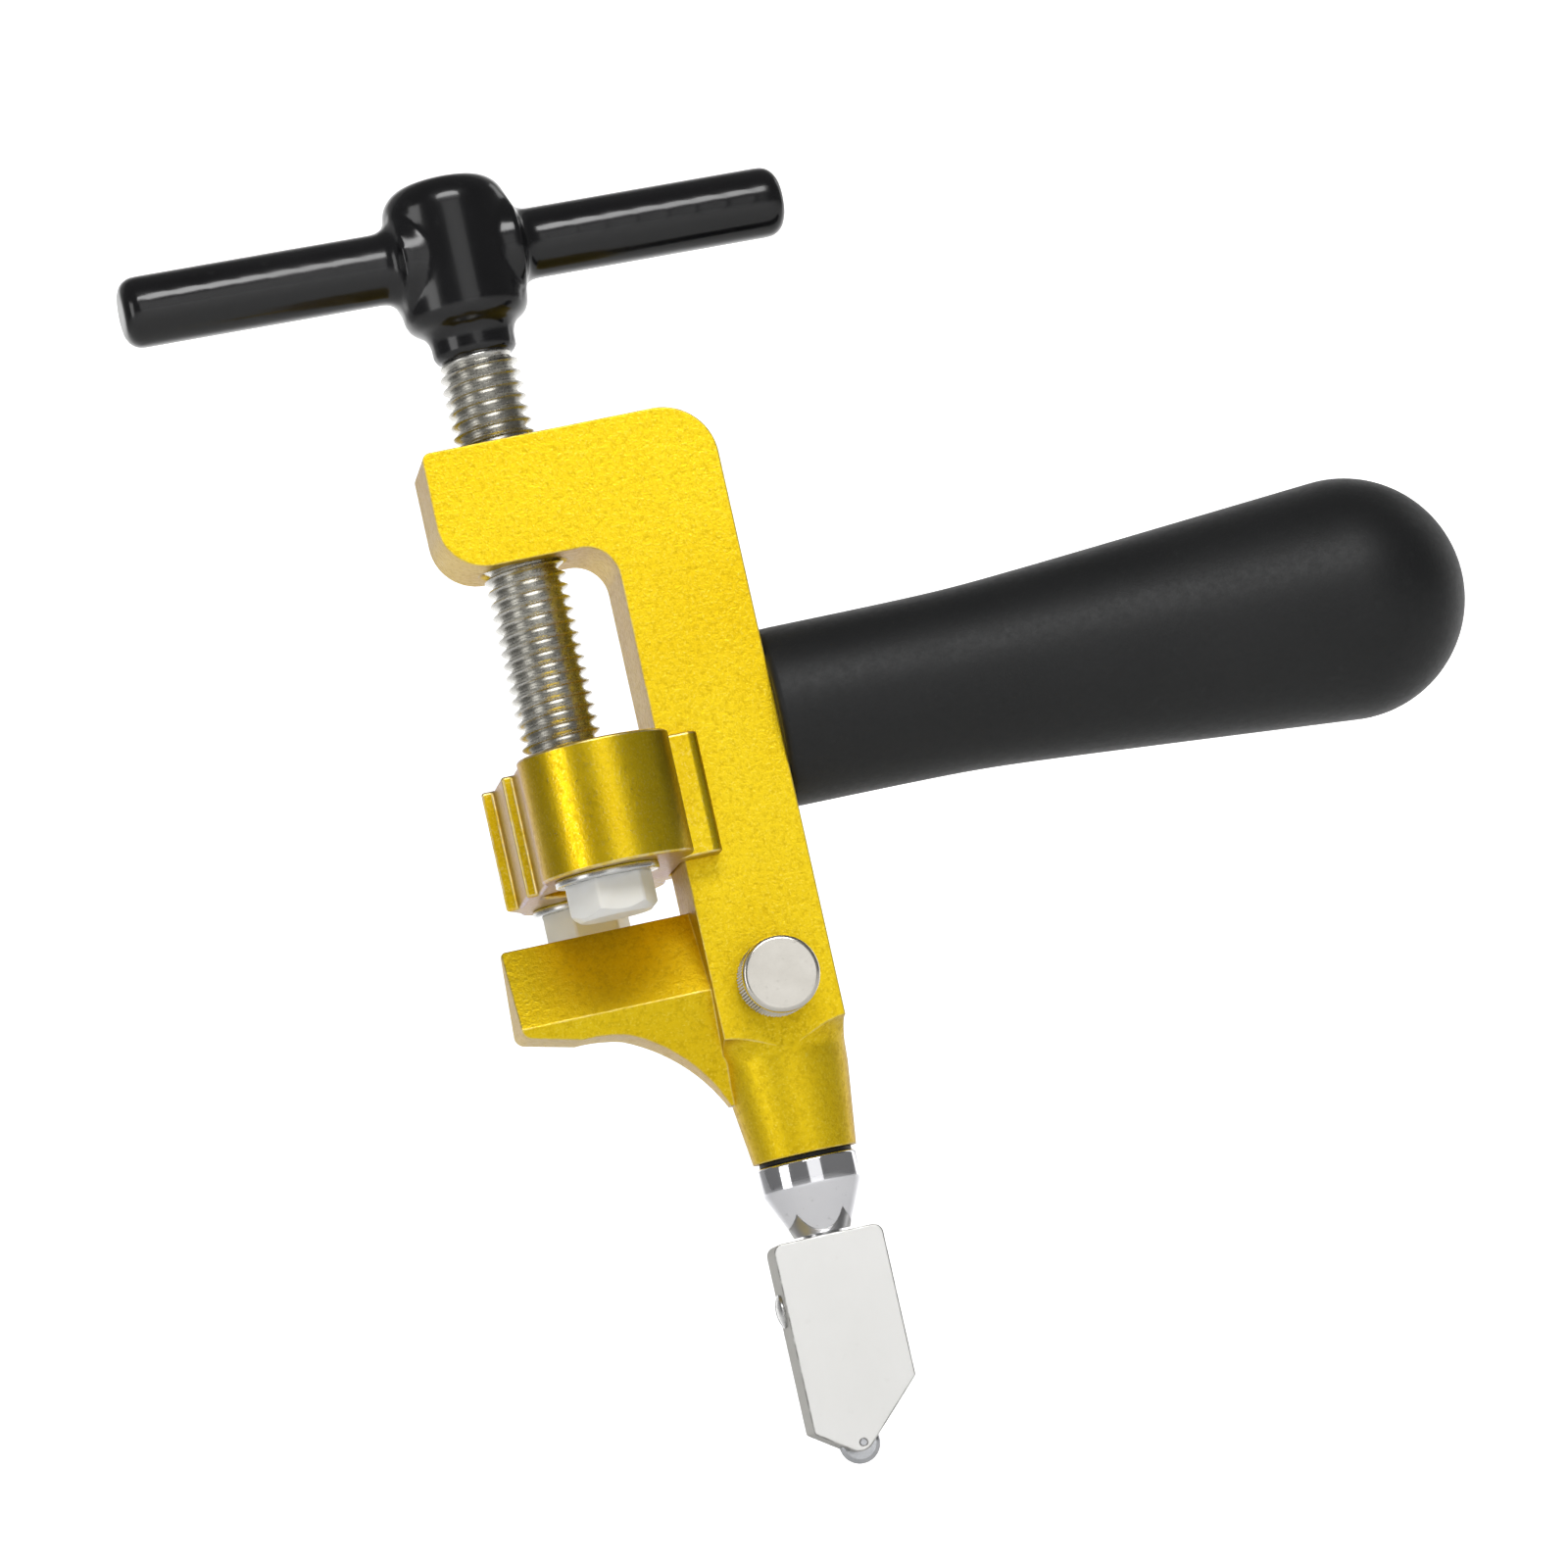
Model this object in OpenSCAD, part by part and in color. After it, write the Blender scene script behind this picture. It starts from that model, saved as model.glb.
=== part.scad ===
// Hand tool that scores a strip of sheet glass with a small wheel, then breaks it
// over a ridge with a screw press. Millimetres. The origin is on top of the jaw's
// ridge, on the press screw's axis. +X points to the handle, +Z up the press screw.

/* [Frame] */
// Thickness of the frame, front to back
frame_t = 16; // [15.5:0.5:17]
// Height of the throat, from the jaw's ridge to the arm
throat_h = 45.5; // [44:0.5:50]
// Height of the arm's section
arm_h = 15; // [13:0.5:18]
// How far the arm reaches past the press screw
arm_reach = 10; // [8:0.5:14]
// Distance from the press screw to the middle of the column
column_x = 18; // [18:0.5:20]
// Width of the column
column_w = 15; // [14:0.5:15]
// Radius of the frame's outer top corner
outer_corner_r = 6.8; // [5:0.2:9]
// Radius in the throat's inner corner
inner_corner_r = 4.2; // [3:0.2:5]

/* [Jaw] */
// How far the jaw reaches past the press screw
jaw_reach = 12.9; // [12:0.1:15]
// Width of the flat on top of the ridge
ridge_w = 1.2; // [0.8:0.1:2]
// Thickness of the jaw at its widest, below the ridge
jaw_t = 12.6; // [11:0.2:13]
// Depth of the widest place below the ridge
jaw_wide_z = 10; // [9:0.5:10]

/* [Press] */
// Outside diameter of the press screw's thread
screw_d = 10; // [9:0.5:10]
// Height of the press block
block_h = 15; // [13:0.5:15]
// Height of the block's underside above the ridge, at rest
block_z = 5.6; // [5.4:0.1:6]
// Distance from the screw to the middle of each end of the block
lobe_y = 17; // [16:0.5:20]
// Radius of the block's round ends
lobe_r = 9.2; // [9:0.1:9.6]
// How far the block's ears reach towards the handle
ear_reach = 14.9; // [13:0.1:16]
// Height of the nylon feet above the ridge, at rest
foot_z = 0.1; // [0.1:0.1:0.6]
// Width of a nylon foot across its flats
foot_af = 9.5; // [9:0.5:10.4]

/* [Top handle] */
// Height of the cross bar above the ridge
bar_z = 85; // [84:0.5:90]
// Length of the coated cross bar
bar_l = 84; // [70:1:100]
// Diameter of the coated cross bar
bar_d = 8.8; // [8:0.2:10]
// Turn of the cross bar about the screw, at rest
bar_turn = 6; // [0:1:12]

/* [Grip] */
// Height of the grip's axis above the ridge
grip_z = 21.2; // [20:0.2:24]
// Diameter of the grip beside the column
grip_d = 22.1; // [20:0.1:24]
// Diameter of the grip's round end
grip_end_d = 30; // [28:0.5:32]
// Length of the grip
grip_l = 88.3; // [80:0.1:100]

/* [Scoring head] */
// Height of the cone's lower end, below the ridge
cone_drop = 31.6; // [31:0.2:34]
// Diameter of the stem inside the cone
stem_d = 8; // [7:0.5:8]
// Width of the scoring head
head_w = 13.54; // [13:0.02:14]
// Thickness of the scoring head
head_t = 8; // [7.6:0.2:9]
// Diameter of the scoring wheel
wheel_d = 5.1; // [4.8:0.1:5.4]
// Diameter of the knurled lock screw
knob_d = 9.4; // [9:0.2:11]

/* [Hidden] */

$fn = 96;
run_gap = 0.06;   // radial clearance where one part turns or slides in another
fix_gap = 0.04;   // radial clearance where a part is screwed or pressed in
end_gap = 0.05;   // end float of the press screw in the block

gold = [0.92, 0.76, 0.16];
nickel = [0.78, 0.77, 0.74];
steel = [0.62, 0.63, 0.65];
chrome = [0.85, 0.86, 0.88];
white_nylon = [0.95, 0.95, 0.92];
gloss_black = [0.05, 0.05, 0.05];
soft_black = [0.10, 0.10, 0.10];

// Frame
arm_top = throat_h + arm_h;
column_l = column_x - column_w / 2;
column_r = column_x + column_w / 2;
shoulder_z = -16.4;               // where the square column starts to be turned round
shoulder_r = 3.4;                 // fillet of that turned shoulder
neck_r = 7.8;                     // radius just under the shoulder
waist = [7.6, -21.8];             // radius and height where the long taper starts
cone_r = 6.4;                     // radius of the cone's lower end
jaw_taper = 19;                   // lean of the jaw's sides below its widest place
relief = [-5, -30.5];             // centre of the round relief under the jaw
relief_r = 17.9;
sweep = [-8.5, -32];              // wider arc that carries the relief down to the cone
sweep_r = 20.5;

// Press
screw_r = screw_d / 2;
journal_r = 3.5;                  // the screw's plain end inside the block
block_top = block_z + block_h;
recess_z = block_z + 4.1;         // ceiling of the recess under the block
lobe_x = 1.5;
block_clear = 0.3;                // gap from the block to the column's left side
ear_clear = 0.2;                  // gap from each ear to the column's front or back
ear_t = 4;
ear_corner_r = 1.4;
foot_washer_t = 0.9;
foot_shank_r = 3;
foot_x = 0;
tap_r = 2;                        // retaining screw's shank

// Top handle
bar_r = bar_d / 2;
hub_r = 7.8;
hub_z = bar_z - 9.4;              // lower edge of the hub
bar_end_r = 2;                    // rounding of the bar's flat ends
hub_dome = bar_z + 10.1;          // top of the hub's dome
collar_r = 5.2;
coat_z = bar_z - 13;              // lower end of the coating
cross_r = 2.5;                    // steel bar inside the coating
cross_l = bar_l - 12;

// Grip
grip_r = grip_d / 2;
grip_end_r = grip_end_d / 2;
ball_x = column_r + grip_l - grip_end_r;
flare_x = column_r + 24.5;        // where the grip starts to widen
rod_depth = 11.5;                 // the rod's threaded end in the column
rod_r = 6;

// Scoring head
stem_r = stem_d / 2;
spindle_r = 2.4;
washer_z = -cone_drop - 0.6;
ferrule_z = washer_z - 3.3;       // where the ferrule's cylinder turns to a cone
ferrule_end = -41.3 - (cone_drop - 31.6);
head_top = ferrule_end - 0.3;
head_l = column_x - head_w / 2;
head_r = column_x + head_w / 2;
head_left_z = head_top - 23.1;    // lower left corner
head_right_z = head_top - 18.8;   // lower right corner
head_left_lean = 34.5;
head_right_lean = 45;
wheel_r = wheel_d / 2;
wheel_x = column_x - 1.16;
wheel_z = head_top - 25.3;
groove_z = head_top - 7.9;
axle_r = 0.4;
lock_z = -10.5;
stud_r = 2.5;
knob_r = knob_d / 2;
knob_l = 7.75;

function unit(v) = v / norm(v);

// Sliver between the sharp corner p, whose sides run towards a and b, and its arc.
// Taken away it rounds an outside corner, and added it fills an inside corner.
module corner(p, a, b, r) {
    u = unit(a - p);
    v = unit(b - p);
    half = acos(u * v) / 2;
    c = p + unit(u + v) * r / sin(half);
    difference() {
        polygon([p - unit(u + v) * 0.4, p + u * r / tan(half), c, p + v * r / tan(half)]);
        translate(c) circle(r);
    }
}

// Upright plate centred on Y, from an outline drawn in X and Z
module plate(t) {
    rotate([90, 0, 0]) translate([0, 0, -t / 2]) linear_extrude(t) children();
}

// Turned shape about Z at x, from an outline drawn in radius and height
module turned(x = 0) {
    translate([x, 0, 0]) rotate_extrude() children();
}

module upright_bore(x, r, z0, z1) {
    translate([x, 0, z0]) cylinder(r = r, h = z1 - z0);
}

module bore_along_x(x0, x1, r, z) {
    translate([x0, 0, z]) rotate([0, 90, 0]) cylinder(r = r, h = x1 - x0);
}

module bore_along_y(y0, y1, r, x, z) {
    translate([x, y0, z]) rotate([-90, 0, 0]) cylinder(r = r, h = y1 - y0);
}

// ---- frame ----

module frame_outline() {
    lower_right = [column_r, -cone_drop];
    difference() {
        union() {
            translate([-arm_reach, throat_h]) square([column_r + arm_reach, arm_h]);
            translate([column_l, -cone_drop]) square([column_w, arm_top + cone_drop]);
            corner([column_l, throat_h], [-arm_reach, throat_h], [column_l, 0], inner_corner_r);
        }
        corner([column_r, arm_top], [-arm_reach, arm_top], lower_right, outer_corner_r);
        corner([-arm_reach, throat_h], [-arm_reach, arm_top], [column_l, throat_h], 5.8);
        corner([-arm_reach, arm_top], [-arm_reach, throat_h], [column_r, arm_top], 1);
    }
}

// Everything that the lathe leaves: wide above the shoulder, a neck and taper below
module lathe_outline() {
    far = 60;
    polygon([
        [0, -cone_drop], [cone_r, -cone_drop], waist, [neck_r, shoulder_z - shoulder_r],
        [neck_r, shoulder_z], [far, shoulder_z], [far, arm_top + 5], [0, arm_top + 5]
    ]);
    corner([neck_r, shoulder_z], [neck_r, shoulder_z - 9], [far, shoulder_z], shoulder_r);
}

module jaw_outline() {
    end = [-jaw_reach, -11];
    belly = [-6, relief[1] + sqrt(relief_r * relief_r - 1)];
    difference() {
        polygon([[-jaw_reach, 0], [column_x, 0], [column_x, -24], [-6, -24], belly, end]);
        intersection() {
            translate(relief) circle(relief_r);
            translate(sweep) circle(sweep_r);
        }
        corner(end, [-jaw_reach, 0], belly, 1.3);
        corner([-jaw_reach, 0], end, [column_x, 0], 0.5);
    }
}

module jaw_section() {
    low = -24;
    low_half = jaw_t / 2 - (-jaw_wide_z - low) * tan(jaw_taper);
    polygon([
        [-ridge_w / 2, 0], [ridge_w / 2, 0], [jaw_t / 2, -jaw_wide_z],
        [low_half, low], [-low_half, low], [-jaw_t / 2, -jaw_wide_z]
    ]);
}

module jaw() {
    intersection() {
        plate(jaw_t + 4) jaw_outline();
        rotate([90, 0, 90]) translate([0, 0, -30]) linear_extrude(60) jaw_section();
    }
}

module frame_body() {
    mouth = 0.6;
    screw_bore = screw_r + run_gap;
    color(gold) difference() {
        union() {
            intersection() {
                plate(frame_t) frame_outline();
                turned(column_x) lathe_outline();
            }
            jaw();
        }
        upright_bore(0, screw_bore, throat_h - 1, arm_top + 1);
        for (side = [0, 1])
            translate([0, 0, side ? arm_top : throat_h]) mirror([0, 0, side])
                translate([0, 0, -0.01]) cylinder(r1 = screw_bore + mouth, r2 = screw_bore, h = mouth);
        upright_bore(column_x, stem_r + run_gap, -cone_drop - 1, 3);
        bore_along_y(-frame_t, 0, stud_r + run_gap, column_x, lock_z);
        bore_along_x(column_r - rod_depth, column_r + 1, 4 + fix_gap, grip_z);
    }
}

// ---- grip ----

module handle_rod() {
    color(steel) {
        bore_along_x(column_r - rod_depth + 0.5, column_r + 0.1, 4, grip_z);
        bore_along_x(column_r, ball_x, rod_r, grip_z);
    }
}

module handle_grip() {
    rim = 0.8;
    lean = asin((grip_end_r - grip_r) / (ball_x - flare_x));
    color(soft_black) difference() {
        translate([0, 0, grip_z]) rotate([0, 90, 0]) rotate_extrude() {
            difference() {
                translate([0, column_r]) square([grip_r, flare_x - column_r]);
                corner([grip_r, column_r], [0, column_r], [grip_r, flare_x], rim);
            }
            polygon([
                [0, flare_x], [grip_r, flare_x],
                [grip_end_r * cos(lean), ball_x - grip_end_r * sin(lean)],
                [0, ball_x - grip_end_r * sin(lean)]
            ]);
            intersection() {
                translate([0, ball_x]) circle(grip_end_r, $fn = 144);
                translate([0, ball_x - grip_end_r * sin(lean)]) square([grip_end_r + 1, 2 * grip_end_r]);
            }
        }
        bore_along_x(column_r - 1, ball_x + 0.5, rod_r + fix_gap, grip_z);
    }
}

// ---- press block and feet ----

// The block's middle, between the centres of its two round ends
module block_outline() {
    difference() {
        block_blank();
        for (side = [-1, 1]) {
            out = side * (frame_t / 2 + ear_clear + ear_t);
            corner([ear_reach, out], [ear_reach, 0], [lobe_x, out], ear_corner_r);
        }
    }
}

module block_blank() {
    inner = column_l - block_clear;
    ear_in = frame_t / 2 + ear_clear;
    ear_out = ear_in + ear_t;
    left = lobe_x - lobe_r + 0.5;   // the neck is a little inside the round ends
    polygon([
        [left, -lobe_y], [left, -3.7], [left - 1.4, -3.7], [left - 1.4, 9.3], [left - 3, 9.3],
        [left + 0.2, lobe_y + 2], [lobe_x, lobe_y],
        [lobe_x + 5, ear_out], [ear_reach, ear_out], [ear_reach, ear_in], [inner, ear_in],
        [inner, -ear_in], [ear_reach, -ear_in], [ear_reach, -ear_out], [lobe_x + 5, -ear_out],
        [lobe_x, -lobe_y]
    ]);
}

module press_block() {
    color(gold) difference() {
        union() {
            translate([0, 0, block_z]) linear_extrude(block_h) block_outline();
            for (side = [-1, 1])
                translate([lobe_x, side * lobe_y, block_z]) cylinder(r = lobe_r, h = block_h);
        }
        upright_bore(0, journal_r + run_gap, block_z - 1, block_top + 1);
        upright_bore(0, 6.4, block_z - 1, recess_z);
        for (side = [-1, 1])
            translate([foot_x, side * lobe_y, 0])
                upright_bore(0, foot_shank_r + fix_gap, block_z - 1, block_z + 12.4);
    }
}

module foot_bolt(side) {
    top = block_z - foot_washer_t;
    across = foot_af / cos(30) / 2;
    color(white_nylon) translate([foot_x, side * lobe_y, 0]) {
        intersection() {
            rotate(8) upright_hex(across, foot_z, top);
            turned() polygon([
                [0, foot_z], [across - 1.2, foot_z], [across - 0.15, foot_z + 0.9],
                [across - 0.15, top], [0, top]
            ]);
        }
        upright_bore(0, foot_shank_r, top - 0.1, block_z + 11.8);
    }
}

module upright_hex(r, z0, z1) {
    translate([0, 0, z0]) cylinder(r = r, h = z1 - z0, $fn = 6);
}

module foot_bolt_front() { foot_bolt(-1); }
module foot_bolt_rear() { foot_bolt(1); }

module foot_washer(side) {
    color(steel) translate([foot_x, side * lobe_y, 0]) difference() {
        upright_bore(0, 6.3, block_z - foot_washer_t, block_z);
        upright_bore(0, foot_shank_r + fix_gap, block_z - 2, block_z + 1);
    }
}

module foot_washer_front() { foot_washer(-1); }
module foot_washer_rear() { foot_washer(1); }

// ---- press screw and top handle ----

module main_screw() {
    end_z = recess_z - end_gap;
    color(steel) difference() {
        union() {
            upright_bore(0, screw_r, block_top + end_gap, bar_z + 5);
            upright_bore(0, journal_r, end_z, block_top + end_gap + 0.1);
        }
        upright_bore(0, tap_r + fix_gap, end_z - 1, end_z + 8);
        rotate(bar_turn) bore_along_x(-screw_d, screw_d, cross_r + fix_gap, bar_z);
    }
}

module cross_bar() {
    color(steel) rotate(bar_turn) bore_along_x(-cross_l / 2, cross_l / 2, cross_r, bar_z);
}

module hub_outline() {
    difference() {
        polygon([
            [0, coat_z], [collar_r, coat_z], [collar_r, hub_z - 1.2], [hub_r - 0.6, hub_z],
            [hub_r, hub_z + 1.6], [hub_r, hub_dome], [0, hub_dome]
        ]);
        corner([hub_r, hub_dome], [hub_r, hub_z], [0, hub_dome], 3.6);
    }
}

module top_handle() {
    color(gloss_black) difference() {
        union() {
            turned() hub_outline();
            rotate(bar_turn) translate([0, 0, bar_z]) rotate([0, 90, 0]) rotate_extrude()
                difference() {
                    translate([0, -bar_l / 2]) square([bar_r, bar_l]);
                    for (side = [-1, 1])
                        corner([bar_r, side * bar_l / 2], [bar_r, 0], [0, side * bar_l / 2], bar_end_r);
                }
        }
        upright_bore(0, screw_r + fix_gap, coat_z - 1, bar_z + 5 + fix_gap);
        rotate(bar_turn)
            bore_along_x(-cross_l / 2 - fix_gap, cross_l / 2 + fix_gap, cross_r + fix_gap, bar_z);
    }
}

module retaining_washer() {
    top = recess_z - end_gap;
    color(steel) difference() {
        upright_bore(0, 5.4, top - 0.8, top);
        upright_bore(0, tap_r + fix_gap, top - 2, top + 1);
    }
}

module retaining_screw() {
    seat = recess_z - end_gap - 0.8;
    color(steel) difference() {
        union() {
            upright_bore(0, 3.6, seat - 2.2, seat);
            upright_bore(0, tap_r, seat - 0.1, seat + 7.8);
        }
        translate([0, 0, seat - 3]) cylinder(r = 1.45, h = 2.1, $fn = 6);
    }
}

// ---- lock screw ----

module lock_stud() {
    tip = -stem_r - 0.1;
    color(steel) bore_along_y(-frame_t / 2 - knob_l + 1.7, tip, stud_r, column_x, lock_z);
}

module lock_knob() {
    back = -frame_t / 2 - 0.05;
    color(nickel) difference() {
        translate([column_x, back, lock_z]) rotate([90, 0, 0]) rotate_extrude() difference() {
            square([knob_r, knob_l]);
            corner([knob_r, knob_l], [knob_r, 0], [0, knob_l], 0.7);
            corner([knob_r, 0], [0, 0], [knob_r, knob_l], 0.4);
        }
        bore_along_y(back - knob_l + 1.5, back + 1, stud_r + run_gap, column_x, lock_z);
    }
}

// ---- stem and nose ----

module stem() {
    step_z = ferrule_z - 0.5;
    color(steel) difference() {
        union() {
            upright_bore(column_x, stem_r, step_z, 1.5);
            upright_bore(column_x, spindle_r, head_top - 15.6, step_z + 0.1);
        }
        // groove that keeps the head on and lets it swivel
        translate([column_x, 0, groove_z - 0.85]) difference() {
            cylinder(r = spindle_r + 1, h = 1.7);
            translate([0, 0, -1]) cylinder(r = 1.8, h = 4);
        }
    }
}

module nose_washer() {
    color([0.07, 0.07, 0.07]) difference() {
        upright_bore(column_x, 5.7, washer_z, -cone_drop);
        upright_bore(column_x, stem_r + fix_gap, washer_z - 1, -cone_drop + 1);
    }
}

module nose_ferrule() {
    color(chrome) difference() {
        turned(column_x) difference() {
            polygon([
                [0, washer_z], [cone_r, washer_z], [cone_r, ferrule_z],
                [3.55, ferrule_end], [0, ferrule_end]
            ]);
            corner([cone_r, washer_z], [0, washer_z], [cone_r, ferrule_z], 0.5);
        }
        upright_bore(column_x, stem_r + fix_gap, ferrule_z - 0.5, 0);
        upright_bore(column_x, spindle_r + fix_gap, ferrule_end - 1, ferrule_z);
    }
}

// ---- scoring head ----

module head_outline() {
    top_l = [head_l, head_top];
    top_r = [head_r, head_top];
    low_l = [head_l, head_left_z];
    low_r = [head_r, head_right_z];
    // the two lower slopes meet at the tip
    rise_l = tan(head_left_lean);
    rise_r = tan(head_right_lean);
    tip_x = (head_left_z + rise_l * head_l - head_right_z + rise_r * head_r) / (rise_l + rise_r);
    tip = [tip_x, head_left_z - rise_l * (tip_x - head_l)];
    difference() {
        polygon([top_l, top_r, low_r, tip, low_l]);
        corner(top_l, low_l, top_r, 1.2);
        corner(top_r, top_l, low_r, 1.2);
        corner(low_l, top_l, tip, 0.5);
        corner(low_r, top_r, tip, 0.5);
        corner(tip, low_l, low_r, 1.9);
    }
}

module head_block() {
    slot_w = 1.3;
    color(nickel) difference() {
        plate(head_t) head_outline();
        upright_bore(column_x, spindle_r + run_gap, head_top - 16, head_top + 1);
        // slot for the wheel
        plate(slot_w) union() {
            translate([wheel_x, wheel_z]) circle(wheel_r + 0.35);
            translate([wheel_x - wheel_r - 0.35, wheel_z - 6]) square([wheel_d + 0.7, 6]);
        }
        bore_along_y(-head_t, head_t, axle_r + 0.02, wheel_x, wheel_z);
        bore_along_x(head_l - 1, column_x, 1.25 + fix_gap, groove_z);
    }
}

module side_screw() {
    dome_r = 4;
    head_out = 0.85;
    rim = 2.05;
    color(steel) difference() {
        union() {
            translate([head_l, 0, groove_z]) rotate([0, -90, 0]) rotate_extrude() intersection() {
                square([rim, head_out]);
                translate([0, head_out - dome_r]) circle(dome_r);
            }
            bore_along_x(head_l - 0.1, column_x - spindle_r - 0.4, 1.25, groove_z);
            bore_along_x(head_l, column_x - spindle_r + 0.35, 0.6, groove_z);
        }
        // screwdriver slot
        translate([head_l - 2, -0.3, groove_z - 3]) cube([1.6, 0.6, 6]);
    }
}

module wheel_axle() {
    color(steel) bore_along_y(-head_t / 2, head_t / 2, axle_r, wheel_x, wheel_z);
}

module scoring_wheel() {
    half = 0.5;
    color(steel) difference() {
        translate([wheel_x, 0, wheel_z]) rotate([-90, 0, 0]) rotate_extrude()
            polygon([
                [0, -half], [wheel_r - 0.55, -half], [wheel_r, 0], [wheel_r - 0.55, half], [0, half]
            ]);
        bore_along_y(-2, 2, axle_r + 0.05, wheel_x, wheel_z);
    }
}

frame_body();
handle_rod();
handle_grip();
press_block();
foot_bolt_front();
foot_bolt_rear();
foot_washer_front();
foot_washer_rear();
main_screw();
cross_bar();
top_handle();
retaining_washer();
retaining_screw();
lock_stud();
lock_knob();
stem();
nose_washer();
nose_ferrule();
head_block();
side_screw();
wheel_axle();
scoring_wheel();
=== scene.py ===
import math
import bmesh
import bpy
from mathutils import Matrix, Quaternion, Vector


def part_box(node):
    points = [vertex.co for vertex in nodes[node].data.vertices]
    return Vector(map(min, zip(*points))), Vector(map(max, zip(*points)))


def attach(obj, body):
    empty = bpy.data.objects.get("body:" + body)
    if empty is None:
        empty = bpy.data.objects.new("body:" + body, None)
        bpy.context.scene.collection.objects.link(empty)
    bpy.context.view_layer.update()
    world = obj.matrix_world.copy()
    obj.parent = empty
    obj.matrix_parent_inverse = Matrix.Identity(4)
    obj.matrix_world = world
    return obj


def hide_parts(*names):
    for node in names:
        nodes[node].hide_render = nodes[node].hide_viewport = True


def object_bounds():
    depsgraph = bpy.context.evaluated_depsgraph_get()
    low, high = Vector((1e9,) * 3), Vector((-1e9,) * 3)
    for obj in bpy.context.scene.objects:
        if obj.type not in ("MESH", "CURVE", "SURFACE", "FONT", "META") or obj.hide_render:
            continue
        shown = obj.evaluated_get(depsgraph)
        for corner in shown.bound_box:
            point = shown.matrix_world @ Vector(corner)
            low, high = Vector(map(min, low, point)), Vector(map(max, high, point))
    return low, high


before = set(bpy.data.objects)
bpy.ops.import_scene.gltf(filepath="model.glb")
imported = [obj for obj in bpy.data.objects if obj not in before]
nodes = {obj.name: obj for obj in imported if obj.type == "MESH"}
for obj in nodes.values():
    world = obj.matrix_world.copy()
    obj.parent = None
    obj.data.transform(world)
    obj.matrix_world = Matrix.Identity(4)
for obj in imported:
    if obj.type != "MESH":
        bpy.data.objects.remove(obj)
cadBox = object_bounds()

mm = 0.001


# Camera, first, so that every look at the piece is through it

cameraSpec = {
    "spot": (-81.8, -750.0, -59.8),   # mm: low and to the left of the tool
    "aim": (25.5, 0.0, 13.1),
    "rollDegrees": -12.7,             # the tool leans to the left in the frame
    "lens": 143.2,
}


def makeCamera(spec):
    data = bpy.data.cameras.new("benchCamera")
    data.lens = spec["lens"]
    data.sensor_width = 36
    data.clip_start, data.clip_end = 0.01, 30
    camera = bpy.data.objects.new("benchCamera", data)
    bpy.context.collection.objects.link(camera)
    spot, aim = Vector(spec["spot"]) * mm, Vector(spec["aim"]) * mm
    roll = Quaternion((0, 0, 1), math.radians(spec["rollDegrees"]))
    camera.location = spot
    camera.rotation_mode = "QUATERNION"
    camera.rotation_quaternion = (aim - spot).to_track_quat("-Z", "Y") @ roll
    bpy.context.scene.camera = camera


makeCamera(cameraSpec)
print("camera placed")


# Node helpers

def addNode(tree, kind, values=None, **settings):
    made = tree.nodes.new(kind)
    for name, value in settings.items():
        setattr(made, name, value)
    for socket, value in (values or {}).items():
        if isinstance(value, bpy.types.NodeSocket):
            tree.links.new(value, made.inputs[socket])
        else:
            made.inputs[socket].default_value = value
    return made


def mathOf(tree, operation, first, second=None, clamp=False):
    values = {0: first} if second is None else {0: first, 1: second}
    return addNode(tree, "ShaderNodeMath", values, operation=operation, use_clamp=clamp).outputs[0]


def mixColours(tree, factor, first, second, blend="MIX"):
    values = {0: factor, 6: first, 7: second}
    return addNode(tree, "ShaderNodeMix", values, data_type="RGBA", blend_type=blend).outputs[2]


def rangeOf(tree, value, low, high, toLow, toHigh):
    values = {"Value": value, "From Min": low, "From Max": high, "To Min": toLow, "To Max": toHigh}
    return addNode(tree, "ShaderNodeMapRange", values).outputs[0]


def newGroup(name, kind, inputs, outputs):
    tree = bpy.data.node_groups.new(name, kind)
    for label, socketType, value in inputs:
        socket = tree.interface.new_socket(label, in_out="INPUT", socket_type=socketType)
        if value is not None:
            socket.default_value = value
    for label, socketType in outputs:
        tree.interface.new_socket(label, in_out="OUTPUT", socket_type=socketType)
    start = tree.nodes.new("NodeGroupInput")
    end = tree.nodes.new("NodeGroupOutput")
    return tree, start, end


# Shared surface effects. Each gives masks and heights only.

def makeBlastedSkin():
    tree, start, end = newGroup(
        "blastedSkin", "ShaderNodeTree",
        [("Vector", "NodeSocketVector", None), ("Grain", "NodeSocketFloat", 4200.0)],
        [("Height", "NodeSocketFloat"), ("Sparkle", "NodeSocketFloat")])
    fine = addNode(tree, "ShaderNodeTexNoise", {"Vector": start.outputs["Vector"],
                   "Scale": start.outputs["Grain"], "Detail": 2.0, "Roughness": 0.6})
    coarseScale = mathOf(tree, "MULTIPLY", start.outputs["Grain"], 0.37)
    coarse = addNode(tree, "ShaderNodeTexNoise", {"Vector": start.outputs["Vector"],
                     "Scale": coarseScale, "Detail": 3.0, "Roughness": 0.55})
    height = mathOf(tree, "MULTIPLY_ADD", fine.outputs["Fac"], 0.7)
    tree.links.new(coarse.outputs["Fac"], height.node.inputs[2])
    tree.links.new(height, end.inputs["Height"])
    sparkle = rangeOf(tree, fine.outputs["Fac"], 0.56, 0.74, 0.0, 1.0)
    tree.links.new(sparkle, end.inputs["Sparkle"])
    return tree


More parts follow.
